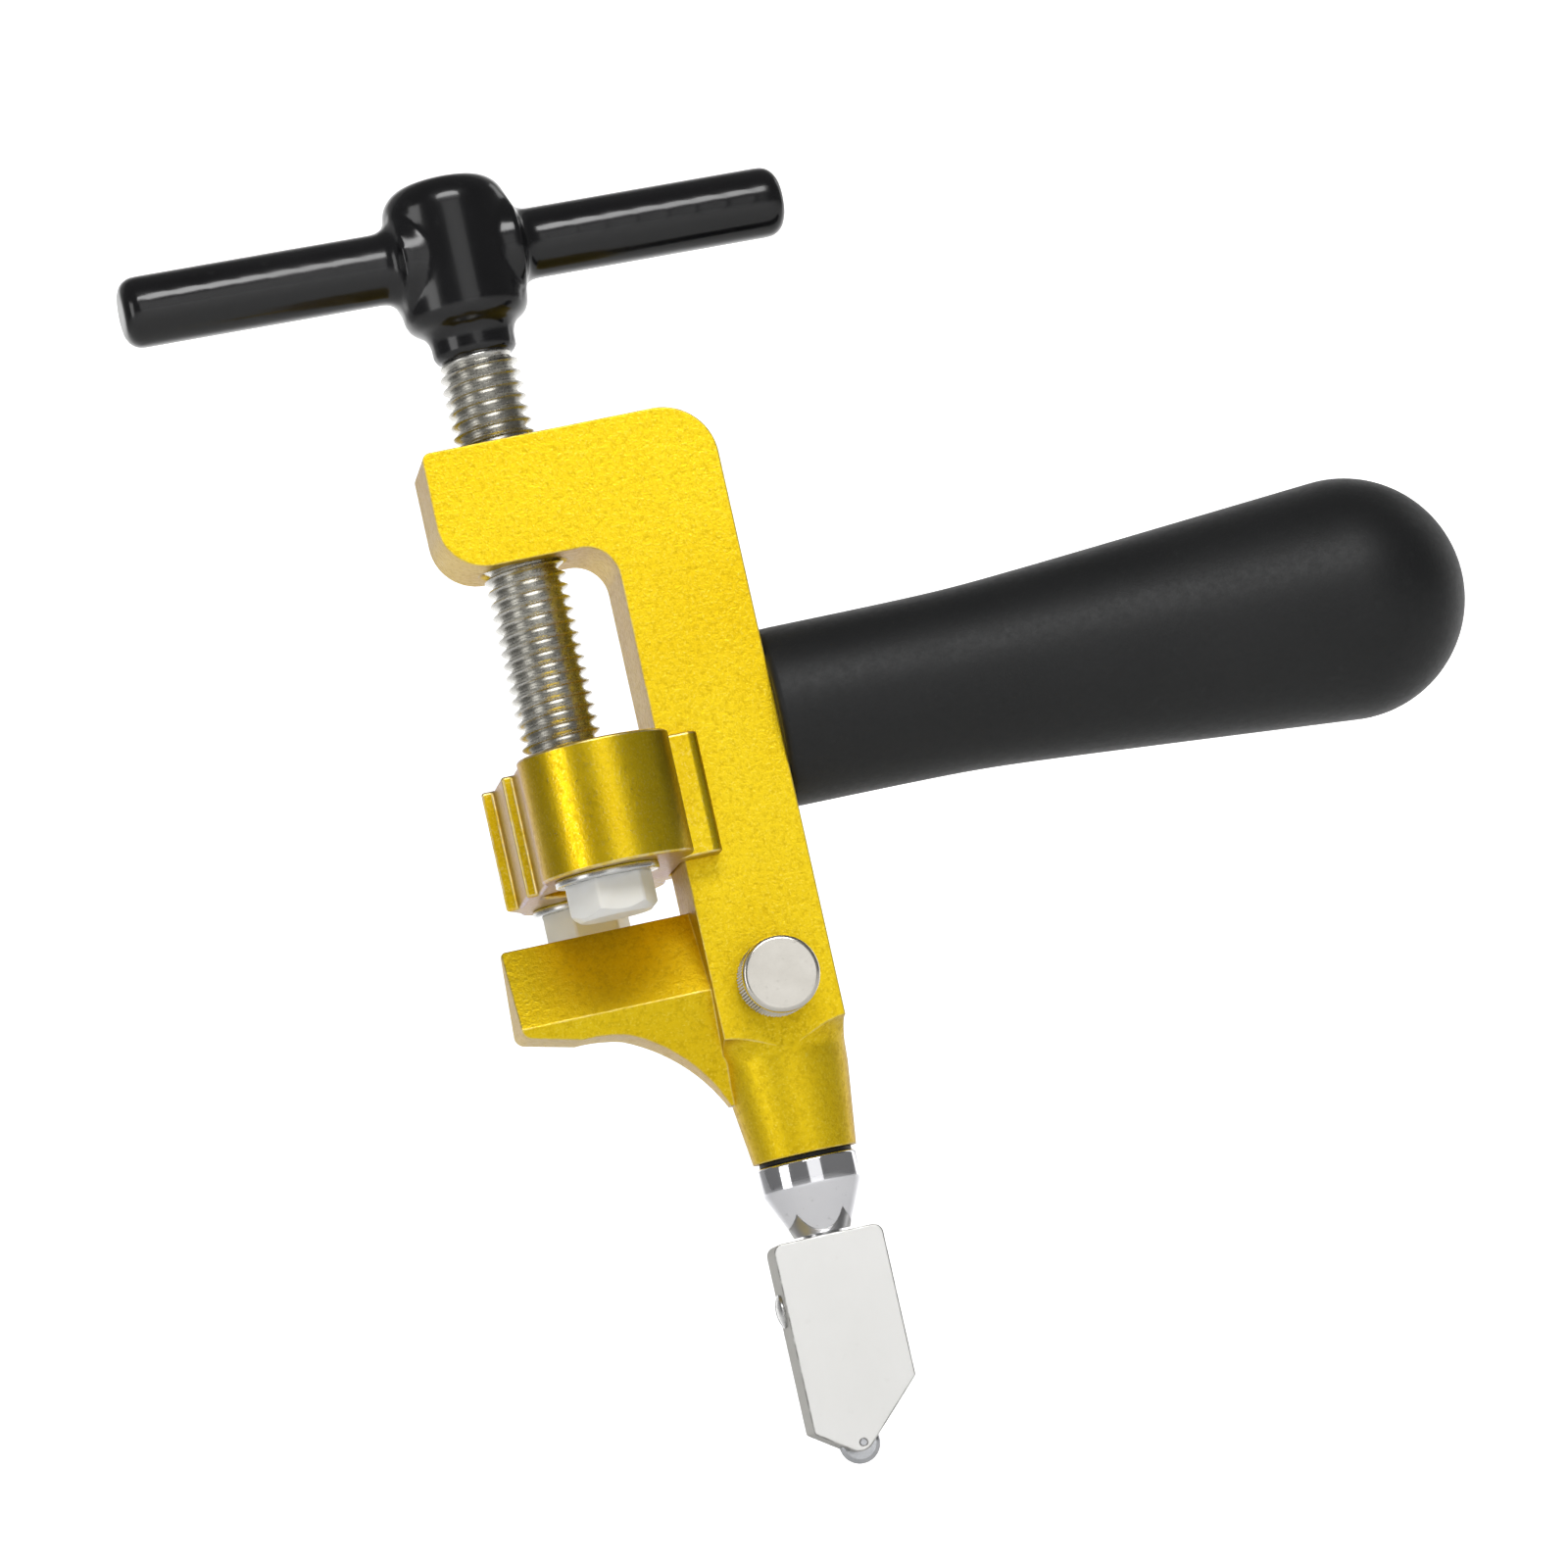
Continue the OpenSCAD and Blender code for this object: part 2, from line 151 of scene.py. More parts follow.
def makeSlowDrift():
    tree, start, end = newGroup(
        "slowDrift", "ShaderNodeTree",
        [("Vector", "NodeSocketVector", None), ("Scale", "NodeSocketFloat", 60.0)],
        [("Drift", "NodeSocketFloat"), ("Spots", "NodeSocketFloat")])
    cloud = addNode(tree, "ShaderNodeTexNoise", {"Vector": start.outputs["Vector"],
                    "Scale": start.outputs["Scale"], "Detail": 4.0, "Roughness": 0.5})
    tree.links.new(rangeOf(tree, cloud.outputs["Fac"], 0.3, 0.7, 0.0, 1.0), end.inputs["Drift"])
    spotScale = mathOf(tree, "MULTIPLY", start.outputs["Scale"], 11.0)
    spots = addNode(tree, "ShaderNodeTexNoise", {"Vector": start.outputs["Vector"],
                    "Scale": spotScale, "Detail": 2.0})
    tree.links.new(rangeOf(tree, spots.outputs["Fac"], 0.66, 0.76, 0.0, 1.0), end.inputs["Spots"])
    return tree


def makeDrawnLines():
    tree, start, end = newGroup(
        "drawnLines", "ShaderNodeTree",
        [("Vector", "NodeSocketVector", None), ("Stretch", "NodeSocketVector", (900, 900, 40)),
         ("Contrast", "NodeSocketFloat", 1.0)],
        [("Lines", "NodeSocketFloat")])
    stretched = addNode(tree, "ShaderNodeVectorMath", {0: start.outputs["Vector"],
                        1: start.outputs["Stretch"]}, operation="MULTIPLY").outputs[0]
    lines = addNode(tree, "ShaderNodeTexNoise", {"Vector": stretched, "Scale": 4.0,
                    "Detail": 5.0, "Roughness": 0.65})
    centred = mathOf(tree, "SUBTRACT", lines.outputs["Fac"], 0.5)
    scaled = mathOf(tree, "MULTIPLY", centred, start.outputs["Contrast"])
    tree.links.new(mathOf(tree, "ADD", scaled, 0.5, clamp=True), end.inputs["Lines"])
    return tree


# A broken-up mask along edges: wear on the nylon, painted highlights and painted shade along the metals'
# edges
def makeEdgeWearAndPaintedLight():
    tree, start, end = newGroup(
        "edgeWearAndPaintedLight", "ShaderNodeTree",
        [("Vector", "NodeSocketVector", None), ("Edge", "NodeSocketFloat", 0.0),
         ("Breakup", "NodeSocketFloat", 700.0), ("Amount", "NodeSocketFloat", 0.5)],
        [("Mask", "NodeSocketFloat")])
    noise = addNode(tree, "ShaderNodeTexNoise", {"Vector": start.outputs["Vector"],
                    "Scale": start.outputs["Breakup"], "Detail": 3.0})
    broken = rangeOf(tree, noise.outputs["Fac"], 0.35, 0.62, 0.25, 1.0)
    mask = mathOf(tree, "MULTIPLY", broken, start.outputs["Edge"])
    tree.links.new(mathOf(tree, "MULTIPLY", mask, start.outputs["Amount"]), end.inputs["Mask"])
    return tree


# How far a normal has turned, as a cosine, where the corner mask starts and is full
cornerMask = {"start": 0.998, "full": 0.95, "samples": 6}


# Corners too close together to round in the mesh are rounded by the normal
def makeSoftCorner():
    tree, start, end = newGroup(
        "softCorner", "ShaderNodeTree",
        [("Radius", "NodeSocketFloat", 0.05 * mm), ("Edge", "NodeSocketFloat", 0.0)],
        [("Normal", "NodeSocketVector"), ("Corner", "NodeSocketFloat")])
    rounded = addNode(tree, "ShaderNodeBevel", {"Radius": start.outputs["Radius"]},
                      samples=cornerMask["samples"]).outputs[0]
    flat = addNode(tree, "ShaderNodeNewGeometry").outputs["Normal"]
    turned = addNode(tree, "ShaderNodeVectorMath", {0: rounded, 1: flat}, operation="DOT_PRODUCT")
    corner = rangeOf(tree, turned.outputs["Value"], cornerMask["start"], cornerMask["full"],
                     0.0, 1.0)
    tree.links.new(rounded, end.inputs["Normal"])
    tree.links.new(mathOf(tree, "MAXIMUM", corner, start.outputs["Edge"]), end.inputs["Corner"])
    return tree


effects = {
    "blastedSkin": makeBlastedSkin(),
    "slowDrift": makeSlowDrift(),
    "drawnLines": makeDrawnLines(),
    "edgeWearAndPaintedLight": makeEdgeWearAndPaintedLight(),
    "softCorner": makeSoftCorner(),
}


def useEffect(tree, name, values):
    made = addNode(tree, "ShaderNodeGroup", node_tree=effects[name])
    for socket, value in values.items():
        if isinstance(value, bpy.types.NodeSocket):
            tree.links.new(value, made.inputs[socket])
        else:
            made.inputs[socket].default_value = value
    return made.outputs


def startFinish(name, constants):
    material = bpy.data.materials.new(name)
    material.use_nodes = True
    tree = material.node_tree
    tree.nodes.clear()
    shader = addNode(tree, "ShaderNodeBsdfPrincipled", constants)
    output = addNode(tree, "ShaderNodeOutputMaterial")
    tree.links.new(shader.outputs[0], output.inputs["Surface"])
    place = addNode(tree, "ShaderNodeTexCoord").outputs["Object"]
    return material, tree, shader, place


def bumpInto(tree, shader, height, strength, distance, normal=None):
    bump = addNode(tree, "ShaderNodeBump", {"Strength": strength, "Distance": distance,
                   "Height": height})
    if normal:
        tree.links.new(normal, bump.inputs["Normal"])
    tree.links.new(bump.outputs[0], shader.inputs["Normal"])


def edgeOf(tree):
    return addNode(tree, "ShaderNodeAttribute", attribute_name="edge").outputs["Fac"]


# Finishes

# the edge colour is worn bare metal with a painted highlight along edges and corners
goldFrameLook = {
    "pit": (0.56, 0.35, 0.004, 1), "pitted": 0.4,
    "deep": (0.86, 0.585, 0.010, 1), "bright": (0.95, 0.70, 0.02, 1), "sparkle": (1.0, 0.80, 0.10, 1),
    "bareAndHighlight": (0.95, 0.84, 0.42, 1), "grain": 3400.0, "drift": 45.0, "wearAndPaintedEdge": 0.6,
    "cornerRadius": 0.34 * mm, "glint": 0.7, "smooth": 0.34, "rough": 0.52, "bumpDepth": 0.06 * mm,
    "edgeOn": (0.42, 0.47, 1.0, 1),
}
goldBlockLook = {
    "pit": (0.52, 0.32, 0.005, 1), "pitted": 0.4,
    "deep": (0.84, 0.55, 0.008, 1), "bright": (0.94, 0.69, 0.02, 1), "sparkle": (1.0, 0.82, 0.25, 1),
    "bareAndHighlight": (0.90, 0.80, 0.55, 1), "grain": 3400.0, "drift": 60.0, "wearAndPaintedEdge": 0.55,
    "cornerRadius": 0.22 * mm, "glint": 0.5, "smooth": 0.27, "rough": 0.42, "bumpDepth": 0.03 * mm,
    "edgeOn": (0.43, 0.46, 0.92, 1),
}


# What both gold looks share: heights of the grain where pits and roughness start and end
goldGrain = {
    "pitStart": 0.88, "pitFull": 0.62, "roughStart": 0.55, "roughEnd": 1.15,
    "spotStrength": 0.08, "bumpStrength": 0.8,
}


def goldAnodised(name, look):
    grain = goldGrain
    # the tint greys the metal where it is seen edge on
    constants = {"Metallic": 1.0, "Specular Tint": look["edgeOn"]}
    material, tree, shader, place = startFinish(name, constants)
    skin = useEffect(tree, "blastedSkin", {"Vector": place, "Grain": look["grain"]})
    drift = useEffect(tree, "slowDrift", {"Vector": place, "Scale": look["drift"]})
    soft = useEffect(tree, "softCorner", {"Radius": look["cornerRadius"], "Edge": edgeOf(tree)})
    edgeWearAndLight = useEffect(tree, "edgeWearAndPaintedLight", {"Vector": place, "Edge": soft["Corner"],
                    "Amount": look["wearAndPaintedEdge"]})
    colour = mixColours(tree, drift["Drift"], look["deep"], look["bright"])
    low = rangeOf(tree, skin["Height"], grain["pitStart"], grain["pitFull"], 0.0, 1.0)
    pits = mathOf(tree, "MULTIPLY", low, look["pitted"])
    colour = mixColours(tree, pits, colour, look["pit"])
    faint = mathOf(tree, "MULTIPLY", skin["Sparkle"], look["glint"])
    colour = mixColours(tree, faint, colour, look["sparkle"])
    dark = mathOf(tree, "MULTIPLY", drift["Spots"], grain["spotStrength"])
    colour = mixColours(tree, dark, colour, look["deep"])
    # painted highlight along the edges and corners, partly worn bare metal
    colour = mixColours(tree, edgeWearAndLight["Mask"], colour, look["bareAndHighlight"])
    tree.links.new(colour, shader.inputs["Base Color"])
    roughness = rangeOf(tree, skin["Height"], grain["roughStart"], grain["roughEnd"],
                        look["rough"], look["smooth"])
    tree.links.new(roughness, shader.inputs["Roughness"])
    bumpInto(tree, shader, skin["Height"], grain["bumpStrength"], look["bumpDepth"],
             soft["Normal"])
    return material


def platedMetal(name, look):
    constants = {"Metallic": 1.0, "Specular Tint": look["edgeOn"]}
    material, tree, shader, place = startFinish(name, constants)
    soft = useEffect(tree, "softCorner", {"Radius": look["cornerRadius"], "Edge": edgeOf(tree)})
    lines = useEffect(tree, "drawnLines", {"Vector": place, "Stretch": look["stretch"],
                      "Contrast": look["contrast"]})
    drift = useEffect(tree, "slowDrift", {"Vector": place, "Scale": look["drift"]})
    edgeWearAndLight = useEffect(tree, "edgeWearAndPaintedLight", {"Vector": place, "Edge": soft["Corner"],
                    "Amount": look["wearAndPaintedEdge"]})
    colour = mixColours(tree, drift["Drift"], look["shade"], look["tint"])
    spots = mathOf(tree, "MULTIPLY", drift["Spots"], look["spots"])
    colour = mixColours(tree, spots, colour, look["stain"])
    # edges and corners take the edge tone: wear with a painted highlight, and on the head a painted dark
    # outline, painted shade
    colour = mixColours(tree, edgeWearAndLight["Mask"], colour, look["edgeTone"])
    tree.links.new(colour, shader.inputs["Base Color"])
    roughness = rangeOf(tree, lines["Lines"], 0.25, 0.75, look["smooth"], look["rough"])
    tree.links.new(roughness, shader.inputs["Roughness"])
    bumpInto(tree, shader, lines["Lines"], look["bumpStrength"], look["bumpDepth"],
             soft["Normal"])
    return material


# a pale edge tone paints a highlight along edges and corners, with some wear
screwSteelLook = {
    "edgeOn": (1, 1, 1, 1), "cornerRadius": 0.05 * mm,
    "tint": (0.66, 0.65, 0.61, 1), "shade": (0.50, 0.49, 0.46, 1), "stain": (0.22, 0.20, 0.17, 1),
    "stretch": (500, 500, 500), "contrast": 1.0, "drift": 120.0, "spots": 0.5, "wearAndPaintedEdge": 0.2,
    "smooth": 0.20, "rough": 0.36, "bumpStrength": 0.4, "bumpDepth": 0.008 * mm,
    "edgeTone": (0.95, 0.95, 0.94, 1),
}
# the head's dark edge tone is painted shade, a dark outline along its edges
nickelHeadLook = {
    "edgeOn": (0.20, 0.195, 0.18, 1), "cornerRadius": 0.3 * mm,
    "tint": (0.90, 0.895, 0.875, 1), "shade": (0.86, 0.855, 0.83, 1), "stain": (0.70, 0.69, 0.66, 1),
    "stretch": (700, 700, 90), "contrast": 0.8, "drift": 70.0, "spots": 0.12, "wearAndPaintedEdge": 0.9,
    "smooth": 0.30, "rough": 0.42, "bumpStrength": 0.2, "bumpDepth": 0.006 * mm,
    "edgeTone": (0.26, 0.25, 0.235, 1),
}
nickelKnobLook = {
    "edgeOn": (1, 1, 1, 1), "cornerRadius": 0.05 * mm,
    "tint": (0.72, 0.69, 0.63, 1), "shade": (0.62, 0.59, 0.53, 1), "stain": (0.30, 0.27, 0.22, 1),
    "stretch": (700, 120, 700), "contrast": 1.0, "drift": 220.0, "spots": 0.4, "wearAndPaintedEdge": 0.3,
    "smooth": 0.14, "rough": 0.28, "bumpStrength": 0.25, "bumpDepth": 0.006 * mm,
    "edgeTone": (0.95, 0.95, 0.94, 1),
}
chromeNoseLook = {
    "edgeOn": (1, 1, 1, 1), "cornerRadius": 0.05 * mm,
    "tint": (0.88, 0.88, 0.90, 1), "shade": (0.80, 0.80, 0.83, 1), "stain": (0.45, 0.45, 0.46, 1),
    "stretch": (60, 60, 900), "contrast": 0.8, "drift": 110.0, "spots": 0.3, "wearAndPaintedEdge": 0.2,
    "smooth": 0.05, "rough": 0.12, "bumpStrength": 0.15, "bumpDepth": 0.004 * mm,
    "edgeTone": (0.95, 0.95, 0.94, 1),
}
turnedSteelLook = {
    "edgeOn": (1, 1, 1, 1), "cornerRadius": 0.05 * mm,
    "tint": (0.68, 0.68, 0.67, 1), "shade": (0.54, 0.54, 0.54, 1), "stain": (0.28, 0.26, 0.24, 1),
    "stretch": (90, 90, 1500), "contrast": 1.4, "drift": 150.0, "spots": 0.5, "wearAndPaintedEdge": 0.4,
    "smooth": 0.18, "rough": 0.36, "bumpStrength": 0.4, "bumpDepth": 0.01 * mm,
    "edgeTone": (0.95, 0.95, 0.94, 1),
}
wheelSteelLook = {
    "edgeOn": (1, 1, 1, 1), "cornerRadius": 0.05 * mm,
    "tint": (0.60, 0.61, 0.63, 1), "shade": (0.45, 0.46, 0.48, 1), "stain": (0.20, 0.20, 0.20, 1),
    "stretch": (1500, 200, 1500), "contrast": 1.5, "drift": 400.0, "spots": 0.4, "wearAndPaintedEdge": 0.2,
    "smooth": 0.14, "rough": 0.30, "bumpStrength": 0.3, "bumpDepth": 0.006 * mm,
    "edgeTone": (0.95, 0.95, 0.94, 1),
}

gripLook = {
    "dark": (0.006, 0.0065, 0.007, 1), "pale": (0.012, 0.0125, 0.013, 1), "dust": (0.05, 0.05, 0.05, 1),
    "grain": 2600.0, "smooth": 0.44, "rough": 0.60, "bumpDepth": 0.03 * mm,
}


def gripRubber(name, look):
    constants = {"Specular IOR Level": 0.36, "Sheen Weight": 0.02, "Sheen Roughness": 0.45}
    material, tree, shader, place = startFinish(name, constants)
    skin = useEffect(tree, "blastedSkin", {"Vector": place, "Grain": look["grain"]})
    drift = useEffect(tree, "slowDrift", {"Vector": place, "Scale": 38.0})
    colour = mixColours(tree, drift["Drift"], look["dark"], look["pale"])
    dust = mathOf(tree, "MULTIPLY", drift["Spots"], 0.10)
    colour = mixColours(tree, dust, colour, look["dust"])
    tree.links.new(colour, shader.inputs["Base Color"])
    uneven = mathOf(tree, "MULTIPLY_ADD", drift["Drift"], 0.35)
    tree.links.new(skin["Height"], uneven.node.inputs[2])
    roughness = rangeOf(tree, uneven, 0.55, 1.5, look["smooth"], look["rough"])
    tree.links.new(roughness, shader.inputs["Roughness"])
    bumpInto(tree, shader, skin["Height"], 0.6, look["bumpDepth"])
    return material


coatingLook = {
    "dark": (0.0025, 0.0025, 0.003, 1), "pale": (0.005, 0.005, 0.006, 1), "mark": (0.03, 0.03, 0.03, 1),
    "smooth": 0.12, "rough": 0.24, "wave": 170.0, "bumpDepth": 0.12 * mm,
}


def dippedCoating(name, look):
    constants = {"Specular IOR Level": 0.5, "Coat Weight": 0.12, "Coat Roughness": 0.05}
    material, tree, shader, place = startFinish(name, constants)
    drift = useEffect(tree, "slowDrift", {"Vector": place, "Scale": 70.0})
    colour = mixColours(tree, drift["Drift"], look["dark"], look["pale"])
    marks = mathOf(tree, "MULTIPLY", drift["Spots"], 0.2)
    colour = mixColours(tree, marks, colour, look["mark"])
    tree.links.new(colour, shader.inputs["Base Color"])
    tree.links.new(rangeOf(tree, drift["Drift"], 0.0, 1.0, look["smooth"], look["rough"]),
                   shader.inputs["Roughness"])
    wave = addNode(tree, "ShaderNodeTexNoise", {"Vector": place, "Scale": look["wave"], "Detail": 1.0})
    bumpInto(tree, shader, wave.outputs["Fac"], 0.35, look["bumpDepth"])
    return material


nylonLook = {
    "milk": (0.90, 0.90, 0.875, 1), "warm": (0.84, 0.83, 0.78, 1), "soil": (0.55, 0.53, 0.48, 1),
    "bumpDepth": 0.02 * mm,
}


def milkyNylon(name, look):
    constants = {"Subsurface Weight": 0.35, "Subsurface Radius": (1.0, 0.95, 0.85),
                 "Subsurface Scale": 0.0012, "Specular IOR Level": 0.5}
    material, tree, shader, place = startFinish(name, constants)
    drift = useEffect(tree, "slowDrift", {"Vector": place, "Scale": 160.0})
    skin = useEffect(tree, "blastedSkin", {"Vector": place, "Grain": 2500.0})
    edgeWearAndLight = useEffect(tree, "edgeWearAndPaintedLight", {"Vector": place, "Edge": edgeOf(tree), "Amount": 0.3})
    colour = mixColours(tree, drift["Drift"], look["milk"], look["warm"])
    colour = mixColours(tree, edgeWearAndLight["Mask"], colour, look["soil"])
    tree.links.new(colour, shader.inputs["Base Color"])
    tree.links.new(rangeOf(tree, skin["Height"], 0.55, 1.15, 0.46, 0.30), shader.inputs["Roughness"])
    bumpInto(tree, shader, skin["Height"], 0.4, look["bumpDepth"])
    return material


finishes = {
    "goldFrame": goldAnodised("goldAnodisedFrame", goldFrameLook),
    "goldBlock": goldAnodised("goldAnodisedBlock", goldBlockLook),
    "screwSteel": platedMetal("platedScrewSteel", screwSteelLook),
    "nickelHead": platedMetal("satinNickelHead", nickelHeadLook),
    "nickelKnob": platedMetal("nickelKnobPlate", nickelKnobLook),
    "chromeNose": platedMetal("chromeNosePlate", chromeNoseLook),
    "turnedSteel": platedMetal("turnedSteel", turnedSteelLook),
    "wheelSteel": platedMetal("groundWheelSteel", wheelSteelLook),
    "gripRubber": gripRubber("softGripRubber", gripLook),
    "washerRubber": gripRubber("blackWasherRubber", {**gripLook, "grain": 5000.0}),
    "coating": dippedCoating("glossDippedCoating", coatingLook),
    "nylon": milkyNylon("milkyNylon", nylonLook),
}
print("finishes made:", len(finishes))


# Mesh helpers

def addPiece(name, mesh, finish):
    piece = bpy.data.objects.new(name, mesh)
    bpy.context.collection.objects.link(piece)
    mesh.materials.clear()
    mesh.materials.append(finishes[finish])
    return piece


def bakeModifiers(piece):
    bpy.context.view_layer.update()
    shape = piece.evaluated_get(bpy.context.evaluated_depsgraph_get())
    mesh = bpy.data.meshes.new_from_object(shape)
    piece.modifiers.clear()
    piece.data = mesh
    return mesh


def smoothShading(mesh, sharpDegrees):
    mesh.shade_smooth()
    mesh.set_sharp_from_angle(angle=math.radians(sharpDegrees))


def weightNormals(piece):
    modifier = piece.modifiers.new("weighted", "WEIGHTED_NORMAL")
    modifier.keep_sharp = True
    modifier.weight = 60


def standFor(piece, body, slot, *names):
    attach(piece, body)
    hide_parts(*names)


mergeSpec = {"weld": 0.002 * mm, "flatDegrees": 0.4, "sharpDegrees": 32}


# A copy of a solid with its coplanar triangles merged and its sharp edges rounded.
# The faces of the rounding are marked in the face attribute "edge", for the wear and the painted light and
# shade along edges.
# A solid's shortest edge limits its whole rounding, so the finishes round small corners too.
def roundedCopy(name, node, finish, bevel, segments=3, limitDegrees=30):
    work = bmesh.new()
    work.from_mesh(nodes[node].data)
    bmesh.ops.remove_doubles(work, verts=work.verts, dist=mergeSpec["weld"])
    bmesh.ops.dissolve_limit(work, angle_limit=math.radians(mergeSpec["flatDegrees"]),
                             verts=work.verts, edges=work.edges)
    mesh = bpy.data.meshes.new(name)
    work.to_mesh(mesh)
    work.free()
    piece = addPiece(name, mesh, finish)
    mesh.materials.append(finishes[finish])
    mesh.polygons.foreach_set("material_index", [0] * len(mesh.polygons))
    edges = piece.modifiers.new("rounded", "BEVEL")
    edges.width = bevel
    edges.segments = segments
    edges.limit_method = "ANGLE"
    edges.angle_limit = math.radians(limitDegrees)
    edges.material = 1
    edges.miter_outer = "MITER_ARC"
    mesh = bakeModifiers(piece)
    marked = [0] * len(mesh.polygons)
    mesh.polygons.foreach_get("material_index", marked)
    edge = mesh.attributes.new("edge", "FLOAT", "FACE")
    edge.data.foreach_set("value", [float(mark) for mark in marked])
    mesh.polygons.foreach_set("material_index", [0] * len(mesh.polygons))
    mesh.materials.clear()
    mesh.materials.append(finishes[finish])
    smoothShading(mesh, mergeSpec["sharpDegrees"])
    weightNormals(piece)
    return piece


# A turned shape from (radius, height) points, first to last up the axis.
# An outline that starts and ends on the axis closes there; a ring's outline joins its ends.
def latheMesh(name, outline, segments=96, ring=False):
    work = bmesh.new()
    rows = []
    for radius, height in outline:
        if radius < 1e-7:
            rows.append([work.verts.new((0, 0, height))])
            continue
        turns = [math.tau * i / segments for i in range(segments)]
        rows.append([work.verts.new((radius * math.cos(a), radius * math.sin(a), height))
                     for a in turns])
    pairs = list(zip(rows, rows[1:])) + ([(rows[-1], rows[0])] if ring else [])
    for low, high in pairs:
        for i in range(segments):
            j = (i + 1) % segments
            corners = [low[i % len(low)], low[j % len(low)], high[j % len(high)], high[i % len(high)]]
            work.faces.new(list(dict.fromkeys(corners)))
    bmesh.ops.recalc_face_normals(work, faces=work.faces)
    mesh = bpy.data.meshes.new(name)
    work.to_mesh(mesh)
    work.free()
    mesh.shade_smooth()
    return mesh


def arcPoints(centre, radius, fromDegrees, toDegrees, steps):
    angles = [math.radians(fromDegrees + (toDegrees - fromDegrees) * i / steps)
              for i in range(steps + 1)]
    return [(centre[0] + radius * math.cos(a), centre[1] + radius * math.sin(a)) for a in angles]


def setInput(modifier, tree, label, value):
    for item in tree.interface.items_tree:
        if item.item_type == "SOCKET" and item.in_out == "INPUT" and item.name == label:
            modifier[item.identifier] = value


# Plain solids with rounded edges

roundedPieces = {
    "frameCasting": ("frame_body", "frame", "gold_anodised_frame", "goldFrame", 0.32 * mm, 3),
    "pressBlock": ("press_block", "press", "gold_anodised_block", "goldBlock", 0.35 * mm, 3),
    "frontFoot": ("foot_bolt_front", "press", "white_nylon", "nylon", 0.30 * mm, 3),
    "rearFoot": ("foot_bolt_rear", "press", "white_nylon", "nylon", 0.30 * mm, 3),
    "blockScrew": ("retaining_screw", "screw", "small_screw_steel", "screwSteel", 0.15 * mm, 2),
    "scoringHead": ("head_block", "head", "nickel_head", "nickelHead", 0.40 * mm, 4),
    "headScrew": ("side_screw", "head", "small_screw_steel", "turnedSteel", 0.08 * mm, 2),
    "scoringWheel": ("scoring_wheel", "wheel", "wheel_steel", "wheelSteel", 0.03 * mm, 1),
}

for name, (node, body, slot, finish, bevel, segments) in roundedPieces.items():
    standFor(roundedCopy(name, node, finish, bevel, segments), body, slot, node)
print("rounded pieces made:", len(roundedPieces))


# Washers, turned, with rounded rims

turnedRings = {
    # name: node, body, slot, finish, bore radius, rim rounding
    "frontFootWasher": ("foot_washer_front", "press", "washer_steel", "turnedSteel", 3.04 * mm, 0.22 * mm),
    "rearFootWasher": ("foot_washer_rear", "press", "washer_steel", "turnedSteel", 3.04 * mm, 0.22 * mm),
    "blockWasher": ("retaining_washer", "screw", "washer_steel", "turnedSteel", 2.04 * mm, 0.15 * mm),
    "coneWasher": ("nose_washer", "stem", "black_washer", "washerRubber", 4.04 * mm, 0.15 * mm),
}


def makeRing(name, node, bore, rim):
    low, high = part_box(node)
    radius, thick = (high.x - low.x) / 2, high.z - low.z
    outline = [(bore, 0)] + arcPoints((radius - rim, rim), rim, -90, 0, 4)
    outline += arcPoints((radius - rim, thick - rim), rim, 0, 90, 4) + [(bore, thick)]
    mesh = latheMesh(name, outline, 96, ring=True)
    mesh.transform(Matrix.Translation(((low.x + high.x) / 2, (low.y + high.y) / 2, low.z)))
    smoothShading(mesh, 40)
    return mesh


for name, (node, body, slot, finish, bore, rim) in turnedRings.items():
    standFor(addPiece(name, makeRing(name, node, bore, rim), finish), body, slot, node)
print("washers turned:", len(turnedRings))


# Chrome ferrule: a short cylinder that runs down to a cone

ferruleSpec = {
    "cylinder": 3.3 * mm, "endRadius": 3.55 * mm, "topRounding": 0.45 * mm, "shoulder": 0.25 * mm,
    "boreTop": 4.04 * mm, "boreBottom": 2.44 * mm, "ledge": 3.8 * mm,
}


def makeFerrule(spec):
    low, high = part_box("nose_ferrule")
    radius, length = (high.x - low.x) / 2, high.z - low.z
    turnAt = length - spec["cylinder"]
    lean = math.atan2(radius - spec["endRadius"], turnAt)
    rounding, shoulder = spec["topRounding"], spec["shoulder"]
    ledge = length - spec["ledge"]
    outline = [(spec["boreBottom"], 0), (spec["endRadius"] - 0.12 * mm, 0), (spec["endRadius"], 0.12 * mm)]
    below, above = turnAt - shoulder * math.cos(lean), turnAt + shoulder
    outline += [(radius - shoulder * math.sin(lean), below), (radius - 0.03 * mm, turnAt), (radius, above)]
    outline += arcPoints((radius - rounding, length - rounding), rounding, 0, 90, 6)
    outline += [(spec["boreTop"], length), (spec["boreTop"], ledge), (spec["boreBottom"], ledge)]
    mesh = latheMesh("noseFerrule", outline, 128, ring=True)
    mesh.transform(Matrix.Translation(((low.x + high.x) / 2, (low.y + high.y) / 2, low.z)))
    smoothShading(mesh, 40)
    standFor(addPiece("noseFerrule", mesh, "chromeNose"), "stem", "chrome_nose", "nose_ferrule")


makeFerrule(ferruleSpec)
print("ferrule turned")


# Press screw: a Geometry Nodes thread over a turned core

threadSpec = {
    "pitch": 1.5 * mm, "rootDrop": 0.92 * mm, "perTurn": 44, "aboveArm": 12.0 * mm,
    "journalRadius": 3.5 * mm, "profileSteps": 9, "endChamfer": 0.3 * mm, "coreInset": 0.01 * mm,
}


